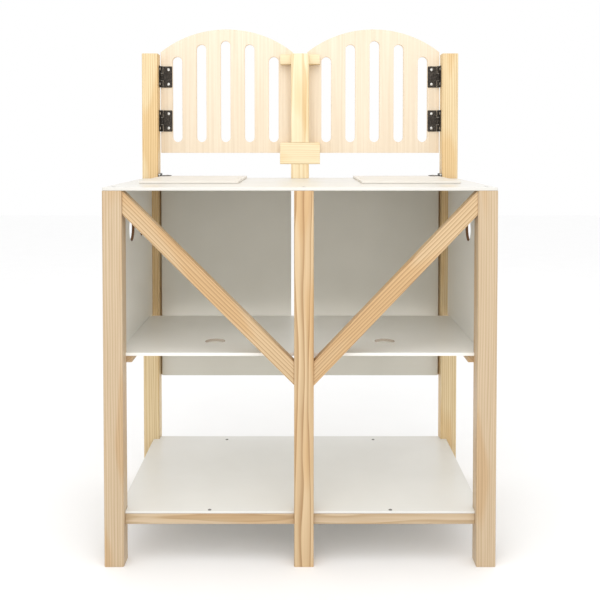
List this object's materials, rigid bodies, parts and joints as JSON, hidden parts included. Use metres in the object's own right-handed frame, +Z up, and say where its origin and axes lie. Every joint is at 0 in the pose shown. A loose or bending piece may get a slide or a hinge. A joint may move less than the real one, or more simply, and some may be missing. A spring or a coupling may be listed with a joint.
{
  "type": "toy kitchen",
  "caption": "Wooden toy kitchen stand with arched slotted shutters above a white worktop, lift-up lids, open shelves and diagonal braces.",
  "frame": {"origin": "on the floor, under the middle of the whole box", "axes": "+Z up, +X to the right seen from the open side, +Y towards the shutters; the open side faces -Y"},
  "size_m": [0.6, 0.37, 0.87],
  "materials": {
    "pine": "pale pine, clear matt lacquer",
    "warm_pine": "warm orange pine, clear matt lacquer",
    "shutter_board": "peach-cream board, satin",
    "white_board": "off-white lacquered board, satin",
    "lid_board": "cream board, satin",
    "hinge_black": "near-black brown, satin",
    "steel": "plain steel"
  },
  "bodies": {
    "root": {"front_post_left": "pine", "front_post_right": "pine", "front_post_middle": "warm_pine", "rear_post_left": "pine", "rear_post_right": "pine", "centre_stub": "pine", "lower_stop": "pine", "centre_post": "pine", "top_stop": "pine", "centre_dowels": "pine", "brace_left": "warm_pine", "brace_right": "warm_pine", "front_rail_left": "pine", "front_rail_right": "pine", "rear_bottom_rail": "pine", "bottom_side_rail_left": "pine", "bottom_side_rail_right": "pine", "shelf_cleat_left": "pine", "shelf_cleat_right": "pine", "back_cleat_left": "pine", "back_cleat_right": "pine", "worktop": "white_board", "middle_shelf": "white_board", "bottom_shelf": "white_board", "side_panel_left": "white_board", "side_panel_right": "white_board", "back_panel_left": "white_board", "back_panel_right": "white_board", "shelf_screws": "steel", "worktop_screws": "steel", "back_cleat_screws": "steel", "shutter_hinge_post_leaves": "hinge_black", "shutter_hinge_pins": "steel", "lid_hinge_post_leaves": "hinge_black", "lid_hinge_pins": "steel", "post_hinge_screws": "steel"},
    "shutter_left": {"shutter_left": "shutter_board", "shutter_leaves_left": "hinge_black", "shutter_screws_left": "steel"},
    "shutter_right": {"shutter_right": "shutter_board", "shutter_leaves_right": "hinge_black", "shutter_screws_right": "steel"},
    "lid_left": {"lid_left": "lid_board", "lid_leaf_left": "hinge_black", "lid_screws_left": "steel"},
    "lid_right": {"lid_right": "lid_board", "lid_leaf_right": "hinge_black", "lid_screws_right": "steel"}
  },
  "joints": [
    {"name": "shutter_left_hinge", "type": "hinge", "parent": "root", "child": "shutter_left", "pos_m": [-0.2674, 0.173, 0.7355], "axis": [0, 0, 1], "range_deg": [0, 90]},
    {"name": "shutter_right_hinge", "type": "hinge", "parent": "root", "child": "shutter_right", "pos_m": [0.2674, 0.173, 0.7355], "axis": [0, 0, -1], "range_deg": [0, 90]},
    {"name": "lid_left_hinge", "type": "hinge", "parent": "root", "child": "lid_left", "pos_m": [-0.2674, 0.151, 0.5902], "axis": [0, -1, 0], "range_deg": [0, 90]},
    {"name": "lid_right_hinge", "type": "hinge", "parent": "root", "child": "lid_right", "pos_m": [0.2674, 0.151, 0.5902], "axis": [0, 1, 0], "range_deg": [0, 90]}
  ]
}
